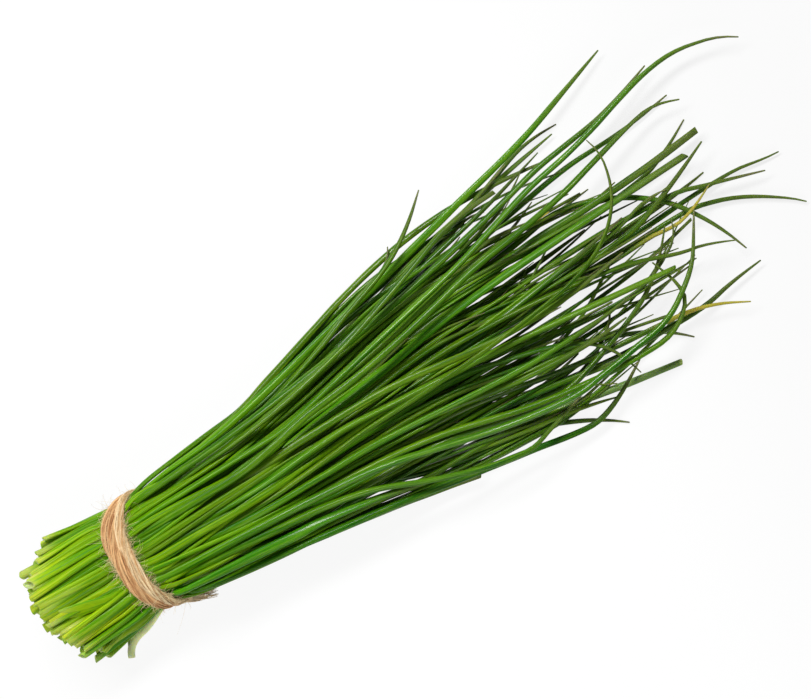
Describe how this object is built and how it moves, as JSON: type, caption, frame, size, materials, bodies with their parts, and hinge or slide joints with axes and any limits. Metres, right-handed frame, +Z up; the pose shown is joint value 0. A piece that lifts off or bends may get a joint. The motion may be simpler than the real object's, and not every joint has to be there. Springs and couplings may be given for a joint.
{
  "type": "chive bunch",
  "caption": "Bunch of fresh chives with square-cut bases and fine fanned tips, tied near the cut ends with jute twine and lying down.",
  "frame": {"origin": "on the surface that the bunch lies on, under the middle of its box", "axes": "+X from the cut ends to the tips, +Y across the bunch, +Z up"},
  "size_m": [0.2972, 0.1126, 0.0327],
  "materials": {
    "leaf": "waxy, lime near the cut, darker to the tip",
    "thin_leaf": "waxy, darker green",
    "stalk": "waxy, light green",
    "twine": "jute, dry and hairy"
  },
  "bodies": {
    "root": {"clipped_leaf_28": "leaf", "clipped_leaf_42": "leaf", "flower_stalk_06": "stalk", "flower_stalk_34": "stalk", "flower_stalk_44": "stalk", "flower_stalk_50": "stalk", "flower_stalk_54": "stalk", "leaf_01": "leaf", "leaf_02": "leaf", "leaf_03": "leaf", "leaf_04": "leaf", "leaf_05": "leaf", "leaf_07": "leaf", "leaf_09": "leaf", "leaf_10": "leaf", "leaf_11": "leaf", "leaf_12": "leaf", "leaf_13": "leaf", "leaf_14": "leaf", "leaf_15": "leaf", "leaf_16": "leaf", "leaf_17": "leaf", "leaf_19": "leaf", "leaf_21": "leaf", "leaf_22": "leaf", "leaf_23": "leaf", "leaf_26": "leaf", "leaf_27": "leaf", "leaf_29": "leaf", "leaf_33": "leaf", "leaf_36": "leaf", "leaf_38": "leaf", "leaf_39": "leaf", "leaf_40": "leaf", "leaf_41": "leaf", "leaf_47": "leaf", "leaf_48": "leaf", "leaf_49": "leaf", "leaf_51": "leaf", "leaf_52": "leaf", "leaf_53": "leaf", "leaf_56": "leaf", "leaf_57": "leaf", "thin_leaf_08": "thin_leaf", "thin_leaf_18": "thin_leaf", "thin_leaf_20": "thin_leaf", "thin_leaf_24": "thin_leaf", "thin_leaf_25": "thin_leaf", "thin_leaf_30": "thin_leaf", "thin_leaf_31": "thin_leaf", "thin_leaf_32": "thin_leaf", "thin_leaf_35": "thin_leaf", "thin_leaf_37": "thin_leaf", "thin_leaf_43": "thin_leaf", "thin_leaf_45": "thin_leaf", "thin_leaf_46": "thin_leaf", "thin_leaf_55": "thin_leaf", "twine_tie": "twine"}
  },
  "joints": []
}
